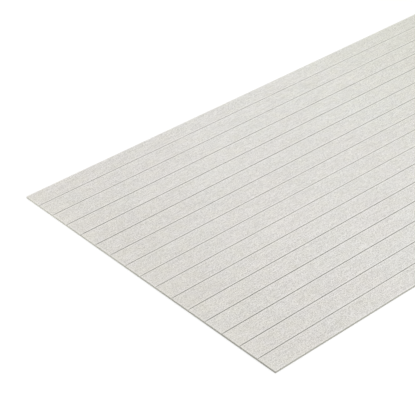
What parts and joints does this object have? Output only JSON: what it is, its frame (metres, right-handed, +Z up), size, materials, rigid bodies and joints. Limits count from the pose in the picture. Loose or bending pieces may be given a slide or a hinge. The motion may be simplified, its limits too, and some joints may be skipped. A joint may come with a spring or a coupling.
{
  "type": "lining board",
  "caption": "Pale grey fibre-cement wall lining sheet with V-grooves along its face, lying flat.",
  "frame": {"origin": "middle of the sheet on its underside, which is the ungrooved back", "axes": "+X along the length and the grooves, +Y across the width, +Z up out of the grooved face"},
  "size_m": [2.4, 1.2, 0.0075],
  "materials": {
    "fibre_cement": "matte"
  },
  "bodies": {
    "root": {"lining_board": "fibre_cement"}
  },
  "joints": []
}
